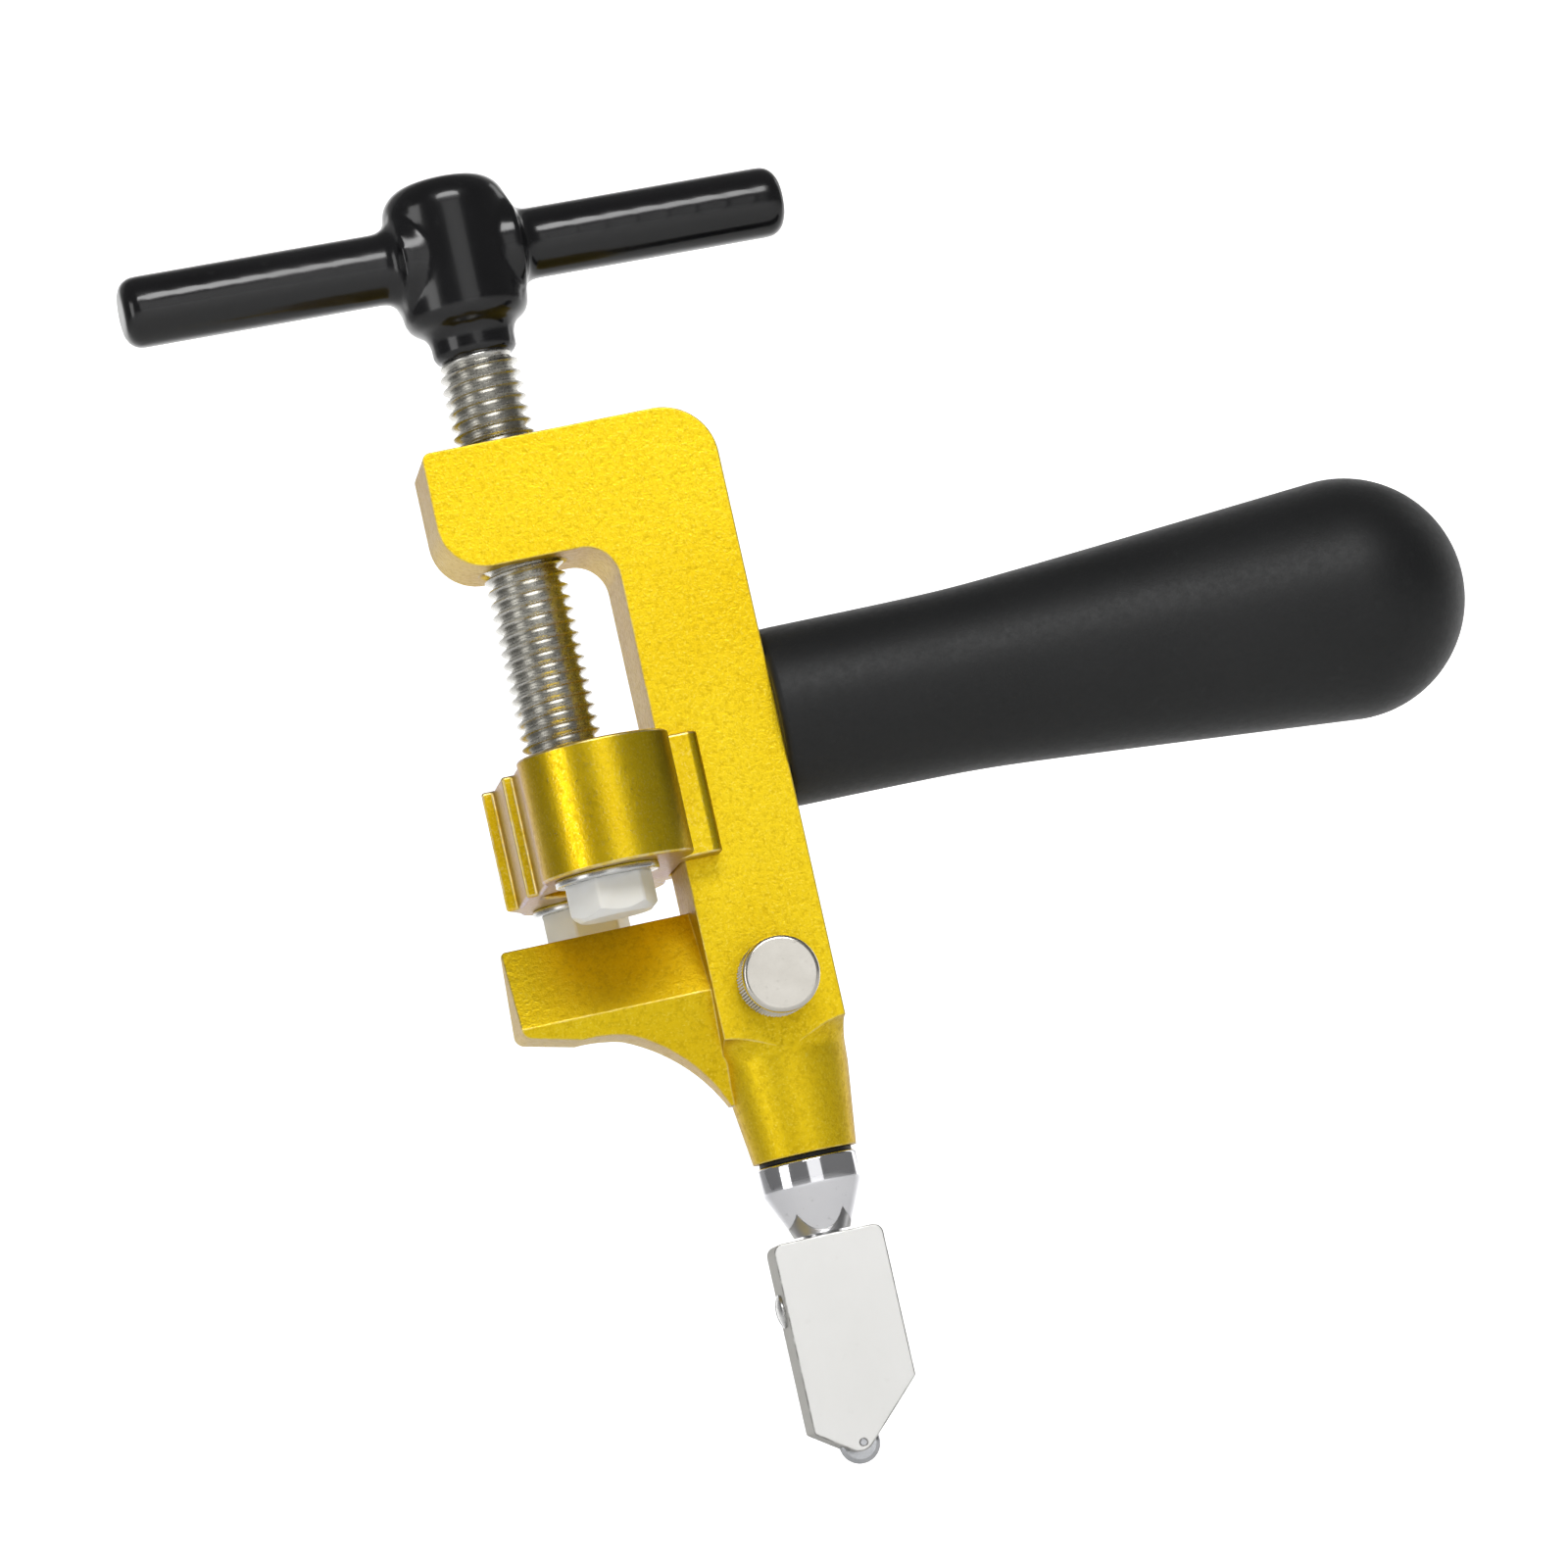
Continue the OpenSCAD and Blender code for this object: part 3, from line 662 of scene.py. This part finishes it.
def makeThreadTree():
    tree, start, end = newGroup(
        "pressThread", "GeometryNodeTree",
        [("Geometry", "NodeSocketGeometry", None), ("Pitch", "NodeSocketFloat", 0.0015),
         ("Crest Radius", "NodeSocketFloat", 0.005), ("Root Radius", "NodeSocketFloat", 0.0041),
         ("Turns", "NodeSocketFloat", 30.0), ("Start Height", "NodeSocketFloat", 0.0),
         ("Steps Along", "NodeSocketInt", 1200), ("Steps Across", "NodeSocketInt", 9),
         ("Material", "NodeSocketMaterial", None)],
        [("Geometry", "NodeSocketGeometry")])
    given = start.outputs
    grid = addNode(tree, "GeometryNodeMeshGrid", {"Size X": 1.0, "Size Y": 1.0,
                   "Vertices X": given["Steps Across"], "Vertices Y": given["Steps Along"]})
    position = addNode(tree, "GeometryNodeInputPosition").outputs[0]
    flat = addNode(tree, "ShaderNodeSeparateXYZ", {0: position})
    across = mathOf(tree, "ADD", flat.outputs[0], 0.5)
    turn = mathOf(tree, "MULTIPLY", mathOf(tree, "ADD", flat.outputs[1], 0.5), given["Turns"])
    angle = mathOf(tree, "MULTIPLY", turn, math.tau)
    rise = mathOf(tree, "MULTIPLY", mathOf(tree, "ADD", turn, across), given["Pitch"])
    length = mathOf(tree, "MULTIPLY", given["Turns"], given["Pitch"])
    rise = mathOf(tree, "MINIMUM", rise, length)
    # ridge profile: rounded root, straight flanks, narrow crest
    centred = mathOf(tree, "SUBTRACT", mathOf(tree, "MULTIPLY", across, 2.0), 1.0)
    fold = mathOf(tree, "ABSOLUTE", centred)
    flank = mathOf(tree, "SUBTRACT", 1.18, mathOf(tree, "MULTIPLY", fold, 1.38), clamp=True)
    lowEnd = mathOf(tree, "DIVIDE", rise, given["Pitch"], clamp=True)
    left = mathOf(tree, "SUBTRACT", length, rise)
    highEnd = mathOf(tree, "DIVIDE", left, given["Pitch"], clamp=True)
    flank = mathOf(tree, "MULTIPLY", flank, mathOf(tree, "MULTIPLY", lowEnd, highEnd))
    depth = mathOf(tree, "SUBTRACT", given["Crest Radius"], given["Root Radius"])
    radius = mathOf(tree, "ADD", given["Root Radius"], mathOf(tree, "MULTIPLY", depth, flank))
    place = addNode(tree, "ShaderNodeCombineXYZ", {
        0: mathOf(tree, "MULTIPLY", radius, mathOf(tree, "COSINE", angle)),
        1: mathOf(tree, "MULTIPLY", radius, mathOf(tree, "SINE", angle)),
        2: mathOf(tree, "ADD", rise, given["Start Height"])})
    bent = addNode(tree, "GeometryNodeSetPosition", {"Geometry": grid.outputs["Mesh"],
                   "Position": place.outputs[0]})
    welded = addNode(tree, "GeometryNodeMergeByDistance", {"Geometry": bent.outputs[0],
                     "Distance": 0.000004})
    joined = addNode(tree, "GeometryNodeJoinGeometry")
    tree.links.new(given["Geometry"], joined.inputs[0])
    tree.links.new(welded.outputs[0], joined.inputs[0])
    real = addNode(tree, "GeometryNodeRealizeInstances", {0: joined.outputs[0]})
    painted = addNode(tree, "GeometryNodeSetMaterial", {"Geometry": real.outputs[0],
                      "Material": given["Material"]})
    tree.links.new(painted.outputs[0], end.inputs[0])
    return tree


def faceOutFromAxis(mesh, x=0.0):
    turned = [p.index for p in mesh.polygons
              if (p.center.x - x) * p.normal.x + p.center.y * p.normal.y < -1e-7 and abs(p.normal.z) < 0.97]
    if len(turned) * 2 > len(mesh.polygons):
        mesh.flip_normals()


def makePressScrew(spec):
    low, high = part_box("main_screw")
    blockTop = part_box("press_block")[1].z + 0.05 * mm
    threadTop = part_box("frame_body")[1].z + spec["aboveArm"]
    crest = high.x
    root = crest - spec["rootDrop"]
    journal, chamfer, inset = spec["journalRadius"], spec["endChamfer"], spec["coreInset"]
    core = [(0, low.z), (journal - chamfer, low.z), (journal, low.z + chamfer),
            (journal, blockTop), (root - inset, blockTop), (root - inset, high.z), (0, high.z)]
    coreMesh = latheMesh("screwCore", core, 64)
    smoothShading(coreMesh, 35)
    piece = addPiece("pressScrew", coreMesh, "screwSteel")
    tree = makeThreadTree()
    thread = piece.modifiers.new("thread", "NODES")
    thread.node_group = tree
    turns = (threadTop - blockTop) / spec["pitch"]
    setInput(thread, tree, "Pitch", spec["pitch"])
    setInput(thread, tree, "Crest Radius", crest)
    setInput(thread, tree, "Root Radius", root)
    setInput(thread, tree, "Turns", turns)
    setInput(thread, tree, "Start Height", blockTop)
    setInput(thread, tree, "Steps Along", int(turns * spec["perTurn"]) + 1)
    setInput(thread, tree, "Steps Across", spec["profileSteps"])
    setInput(thread, tree, "Material", finishes["screwSteel"])
    mesh = bakeModifiers(piece)
    faceOutFromAxis(mesh)
    smoothShading(mesh, 48)
    standFor(piece, "screw", "screw_steel", "main_screw")


makePressScrew(threadSpec)
print("press screw threaded")


# Top handle: bar and hub flow into each other, as the dipped coating does

topHandleSpec = {
    "turnDegrees": 6.0, "barRadius": 4.4 * mm, "endRounding": 2.1 * mm, "hubRadius": 7.8 * mm,
    "collarRadius": 5.2 * mm, "fillet": 2.2 * mm, "hubBelow": 9.2 * mm, "hubAbove": 10.1 * mm,
    "crown": 3.8 * mm, "crownRise": 0.7 * mm, "foot": 2.6 * mm, "voxel": 0.40 * mm, "smoothing": 10,
}


def makeTopHandle(spec):
    low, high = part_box("top_handle")
    barLow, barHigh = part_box("cross_bar")
    barHeight = (barLow.z + barHigh.z) / 2
    turn = math.radians(spec["turnDegrees"])
    halfBar = (high.x - spec["barRadius"] * math.sin(turn)) / math.cos(turn)
    barRadius, hubRadius, fillet = spec["barRadius"], spec["hubRadius"], spec["fillet"]
    rounding = spec["endRounding"]

    # one half of the bar, from its blunt end to the hub, flared where it meets the hub
    half = [(0, halfBar)] + arcPoints((barRadius - rounding, halfBar - rounding), rounding, 90, 0, 8)
    steps = 10
    for i in range(steps + 1):
        reach = hubRadius - 0.3 * mm + fillet * (1 - i / steps)
        grown = fillet - math.sqrt(max(0, fillet ** 2 - (fillet * i / steps) ** 2))
        half.append((barRadius + grown, reach))
    outline = half + [(r, -h) for r, h in reversed(half)]
    bar = latheMesh("barBlank", outline, 96)
    bar.transform(Matrix.Translation((0, 0, barHeight)) @ Matrix.Rotation(turn, 4, "Z")
                  @ Matrix.Rotation(math.radians(90), 4, "Y"))

    crown, rise, foot = spec["crown"], spec["crownRise"], spec["foot"]
    collar, hubLow = spec["collarRadius"], barHeight - spec["hubBelow"]
    top = barHeight + spec["hubAbove"] - rise
    hub = [(0, low.z), (collar - 0.6 * mm, low.z), (collar, low.z + 0.6 * mm)]
    hub += [(collar, hubLow - 1.4 * mm), (collar + 0.25 * mm, hubLow - 0.6 * mm)]
    hub += arcPoints((hubRadius - foot, hubLow + foot), foot, -75, 0, 8)
    hub += arcPoints((hubRadius - crown, top - crown), crown, 0, 84, 9)
    flat = hub[-1][0]
    hub += [(flat * (1 - i / 6), hub[-1][1] + rise * math.sin(math.radians(15 * i)))
            for i in range(1, 7)]
    hub[-1] = (0, top + rise)
    hubMesh = latheMesh("hubBlank", hub, 96)

    piece = addPiece("topHandle", bar, "coating")
    work = bmesh.new()
    work.from_mesh(bar)
    work.from_mesh(hubMesh)
    work.to_mesh(bar)
    work.free()
    remesh = piece.modifiers.new("fused", "REMESH")
    remesh.mode = "VOXEL"
    remesh.voxel_size = spec["voxel"]
    smooth = piece.modifiers.new("flowed", "SMOOTH")
    smooth.factor = 0.5
    smooth.iterations = spec["smoothing"]
    mesh = bakeModifiers(piece)
    mesh.shade_smooth()
    standFor(piece, "screw", "gloss_coating", "top_handle")


makeTopHandle(topHandleSpec)
print("top handle fused")


# Grip: one turned rubber skin that swells towards its round end

gripSpec = {
    "neckRadius": 11.05 * mm, "swellStart": 24.5 * mm, "swellBlend": 6.0 * mm,
    "rim": 0.9 * mm, "boreRadius": 6.2 * mm, "boreShort": 2 * mm, "segments": 144, "steps": 60,
}


def makeGrip(spec):
    low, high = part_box("handle_grip")
    axisHeight = (low.z + high.z) / 2
    endRadius = (high.z - low.z) / 2
    length = high.x - low.x
    ball = length - endRadius
    neck, start, blend = spec["neckRadius"], spec["swellStart"], spec["swellBlend"]
    lean = math.asin((endRadius - neck) / (ball - start))
    slope = math.tan(lean)

    def radiusAt(x):
        past = x - start
        return neck + slope * (math.sqrt(past * past + blend * blend) + past) / 2

    joinX = ball - endRadius * math.sin(lean)
    excess = radiusAt(joinX) - endRadius * math.cos(lean)   # the blend lifts the flank a little
    outline = [(spec["boreRadius"], 0.0), (neck - spec["rim"], 0.0)]
    outline += arcPoints((neck - spec["rim"], spec["rim"]), spec["rim"], -75, 0, 6)
    for i in range(1, spec["steps"] + 1):
        x = spec["rim"] + (joinX - spec["rim"]) * i / spec["steps"]
        outline.append((radiusAt(x) - excess * i / spec["steps"], x))
    outline += arcPoints((0, ball), endRadius, math.degrees(-lean) + 3, 87, 34)
    outline.append((0, length))
    # the hollow for the rod closes the skin from inside
    bore, boreEnd = spec["boreRadius"], ball - spec["boreShort"]
    mesh = latheMesh("gripSkin", [(0, boreEnd), (bore, boreEnd)] + outline, spec["segments"])
    mesh.transform(Matrix.Translation((low.x, 0, axisHeight))
                   @ Matrix.Rotation(math.radians(90), 4, "Y"))
    smoothShading(mesh, 50)
    piece = addPiece("rubberGrip", mesh, "gripRubber")
    standFor(piece, "frame", "grip_rubber", "handle_grip")


makeGrip(gripSpec)
print("grip turned")


# Lock knob: Geometry Nodes set diamond points round a turned blank

knobSpec = {
    "around": 38, "rows": 15, "depth": 0.34 * mm, "rimLength": 1.5 * mm, "backLength": 0.5 * mm,
    "chamfer": 0.6 * mm, "stepBelowRim": 0.22 * mm,
}


def makeKnurlTree():
    tree, start, end = newGroup(
        "diamondKnurl", "GeometryNodeTree",
        [("Geometry", "NodeSocketGeometry", None), ("Radius", "NodeSocketFloat", 0.0047),
         ("Depth", "NodeSocketFloat", 0.0003), ("Around", "NodeSocketInt", 38),
         ("Rows", "NodeSocketInt", 14), ("First Row", "NodeSocketFloat", 0.0),
         ("Row Step", "NodeSocketFloat", 0.0004), ("Material", "NodeSocketMaterial", None)],
        [("Geometry", "NodeSocketGeometry")])
    given = start.outputs
    count = mathOf(tree, "MULTIPLY", given["Around"], given["Rows"])
    index = addNode(tree, "GeometryNodeInputIndex").outputs[0]
    row = mathOf(tree, "FLOOR", mathOf(tree, "DIVIDE", index, given["Around"]))
    column = mathOf(tree, "SUBTRACT", index, mathOf(tree, "MULTIPLY", row, given["Around"]))
    stagger = mathOf(tree, "MULTIPLY", mathOf(tree, "MODULO", row, 2.0), 0.5)
    turn = mathOf(tree, "DIVIDE", mathOf(tree, "ADD", column, stagger), given["Around"])
    angle = mathOf(tree, "MULTIPLY", turn, math.tau)
    inner = mathOf(tree, "SUBTRACT", given["Radius"], given["Depth"])
    place = addNode(tree, "ShaderNodeCombineXYZ", {
        0: mathOf(tree, "MULTIPLY", inner, mathOf(tree, "COSINE", angle)),
        1: mathOf(tree, "MULTIPLY", inner, mathOf(tree, "SINE", angle)),
        2: mathOf(tree, "ADD", given["First Row"], mathOf(tree, "MULTIPLY", row, given["Row Step"]))})
    points = addNode(tree, "GeometryNodePoints", {"Count": count, "Position": place.outputs[0]})
    # one point of the knurl: a four-sided cone laid over so that it points outwards
    cone = addNode(tree, "GeometryNodeMeshCone", {"Vertices": 4, "Radius Top": 0.12,
                   "Radius Bottom": 1.0, "Depth": 1.0})
    halfRound = mathOf(tree, "MULTIPLY", given["Radius"], math.pi)
    halfWidth = mathOf(tree, "DIVIDE", halfRound, given["Around"])
    size = addNode(tree, "ShaderNodeCombineXYZ", {0: given["Row Step"], 1: halfWidth,
                   2: given["Depth"]})
    laid = addNode(tree, "GeometryNodeTransform", {"Geometry": cone.outputs["Mesh"],
                   "Rotation": (0, math.radians(90), 0), "Scale": size.outputs[0]})
    spin = addNode(tree, "ShaderNodeCombineXYZ", {2: angle})
    studs = addNode(tree, "GeometryNodeInstanceOnPoints", {"Points": points.outputs[0],
                    "Instance": laid.outputs[0], "Rotation": spin.outputs[0]})
    joined = addNode(tree, "GeometryNodeJoinGeometry")
    tree.links.new(given["Geometry"], joined.inputs[0])
    tree.links.new(studs.outputs[0], joined.inputs[0])
    real = addNode(tree, "GeometryNodeRealizeInstances", {0: joined.outputs[0]})
    painted = addNode(tree, "GeometryNodeSetMaterial", {"Geometry": real.outputs[0],
                      "Material": given["Material"]})
    tree.links.new(painted.outputs[0], end.inputs[0])
    return tree


def makeLockKnob(spec):
    low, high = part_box("lock_knob")
    radius = (high.x - low.x) / 2
    length = high.y - low.y
    inner = radius - spec["depth"]
    rimStart = length - spec["rimLength"]
    chamfer = spec["chamfer"]
    blank = [(0, 0), (inner - 0.3 * mm, 0), (inner, 0.3 * mm), (inner, rimStart - 0.25 * mm),
             (inner - 0.1 * mm, rimStart - 0.1 * mm), (radius - spec["stepBelowRim"], rimStart),
             (radius - 0.04 * mm, rimStart + 0.12 * mm)]
    blank += arcPoints((radius - chamfer, length - chamfer), chamfer - 0.04 * mm, 0, 90, 8)
    blank += [(radius - chamfer - 0.3 * mm, length - 0.04 * mm), (0, length - 0.04 * mm)]
    mesh = latheMesh("knobBlank", blank, 96)
    smoothShading(mesh, 35)
    piece = addPiece("lockKnob", mesh, "nickelKnob")
    tree = makeKnurlTree()
    knurl = piece.modifiers.new("knurl", "NODES")
    knurl.node_group = tree
    span = rimStart - 0.25 * mm - spec["backLength"]
    step = span / (spec["rows"] + 1)
    setInput(knurl, tree, "Radius", radius)
    setInput(knurl, tree, "Depth", spec["depth"])
    setInput(knurl, tree, "Around", spec["around"])
    setInput(knurl, tree, "Rows", spec["rows"])
    setInput(knurl, tree, "First Row", spec["backLength"] + step)
    setInput(knurl, tree, "Row Step", step)
    setInput(knurl, tree, "Material", finishes["nickelKnob"])
    mesh = bakeModifiers(piece)
    centre = (low + high) / 2
    # the knob's axis runs towards the front, from its back face
    mesh.transform(Matrix.Translation((centre.x, high.y, centre.z))
                   @ Matrix.Rotation(math.radians(90), 4, "X"))
    standFor(piece, "lock_knob", "nickel_knob", "lock_knob")


makeLockKnob(knobSpec)
print("lock knob knurled")


# Inner steel pieces keep their solids and take a finish

keptNodes = {
    "handle_rod": "turnedSteel", "cross_bar": "turnedSteel", "lock_stud": "screwSteel",
    "stem": "turnedSteel", "wheel_axle": "wheelSteel",
}
for node, finish in keptNodes.items():
    mesh = nodes[node].data
    mesh.materials.clear()
    mesh.materials.append(finishes[finish])
    mesh.polygons.foreach_set("material_index", [0] * len(mesh.polygons))
print("inner pieces finished:", len(keptNodes))


# Floor, backdrop and lights

studio = {
    "floorBelow": 70 * mm, "halfWidth": 2.6, "front": -3.0, "back": 1.5, "sweep": 1.0, "height": 2.6,
    "paper": (0.94, 0.94, 0.94, 1), "world": (1.0, 1.0, 1.0, 1), "worldStrength": 0.17,
    "glow": 0.95, "edgeGlow": 0.08, "glowCentre": (0.15, 1.35, 0.2),
    "glowRadius": 0.95, "glowEdge": 1.3,
}


def makeSweep(spec, floorHeight):
    # pale paper that runs level under the tool and then curves up behind it
    profile = [(spec["front"], 0.0)]
    for i in range(25):
        a = math.radians(90 * i / 24)
        profile.append((spec["back"] - spec["sweep"] + spec["sweep"] * math.sin(a),
                        spec["sweep"] * (1 - math.cos(a))))
    profile.append((spec["back"], spec["height"]))
    wide = spec["halfWidth"]
    points = [(side * wide, y, z + floorHeight) for y, z in profile for side in (-1, 1)]
    faces = [(2 * i, 2 * i + 1, 2 * i + 3, 2 * i + 2) for i in range(len(profile) - 1)]
    mesh = bpy.data.meshes.new("paperSweep")
    mesh.from_pydata(points, [], faces)
    mesh.shade_smooth()
    sweep = bpy.data.objects.new("paperSweep", mesh)
    bpy.context.collection.objects.link(sweep)
    constants = {"Roughness": 0.9, "Specular IOR Level": 0.1}
    material, tree, shader, place = startFinish("palePaper", constants)
    drift = useEffect(tree, "slowDrift", {"Vector": place, "Scale": 3.0})
    paper = spec["paper"]
    shade = (paper[0] * 0.985, paper[1] * 0.985, paper[2] * 0.98, 1)
    tree.links.new(mixColours(tree, drift["Drift"], paper, shade), shader.inputs["Base Color"])
    # the paper glows by painted emission, a painted pool of light behind and round the tool that falls away
    # to grey at the sides
    away = addNode(tree, "ShaderNodeVectorMath", {0: place, 1: spec["glowCentre"]},
                   operation="DISTANCE")
    glow = rangeOf(tree, away.outputs["Value"], spec["glowRadius"], spec["glowEdge"],
                   spec["glow"], spec["edgeGlow"])
    tree.links.new(addNode(tree, "ShaderNodeCombineXYZ", {0: glow, 1: glow, 2: glow}).outputs[0],
                   shader.inputs["Emission Color"])
    shader.inputs["Emission Strength"].default_value = 1.0
    mesh.materials.append(material)


softLights = {
    # name: spot, aim, width, height (metres), watts
    "keyPanel": ((0.12, -0.95, 0.72), (0.02, 0, 0.01), 0.75, 0.32, 6.6),
    "frontPanel": ((0.17, -1.18, 0.14), (0.02, 0, 0.01), 0.62, 0.6, 1.0),
    "leftPanel": ((-1.02, -0.58, 0.10), (0.0, 0, 0.0), 0.46, 0.9, 3.0),
    "rightStrip": ((1.0, 0.6, 0.3), (0.05, 0, 0.02), 0.3, 0.9, 0.9),
}


def makeLights(lights):
    for name, (spot, aim, width, height, watts) in lights.items():
        data = bpy.data.lights.new(name, "AREA")
        data.shape = "RECTANGLE"
        data.size, data.size_y = width, height
        data.energy = watts
        light = bpy.data.objects.new(name, data)
        bpy.context.collection.objects.link(light)
        light.location = spot
        light.rotation_mode = "QUATERNION"
        light.rotation_quaternion = (Vector(aim) - Vector(spot)).to_track_quat("-Z", "Y")


def makeWorld(spec):
    world = bpy.data.worlds.new("studioAir")
    world.use_nodes = True
    background = world.node_tree.nodes["Background"]
    background.inputs["Color"].default_value = spec["world"]
    background.inputs["Strength"].default_value = spec["worldStrength"]
    bpy.context.scene.world = world
    bpy.context.scene.view_settings.view_transform = "Standard"


makeSweep(studio, cadBox[0].z - studio["floorBelow"])
makeLights(softLights)
makeWorld(studio)
print("studio lit")
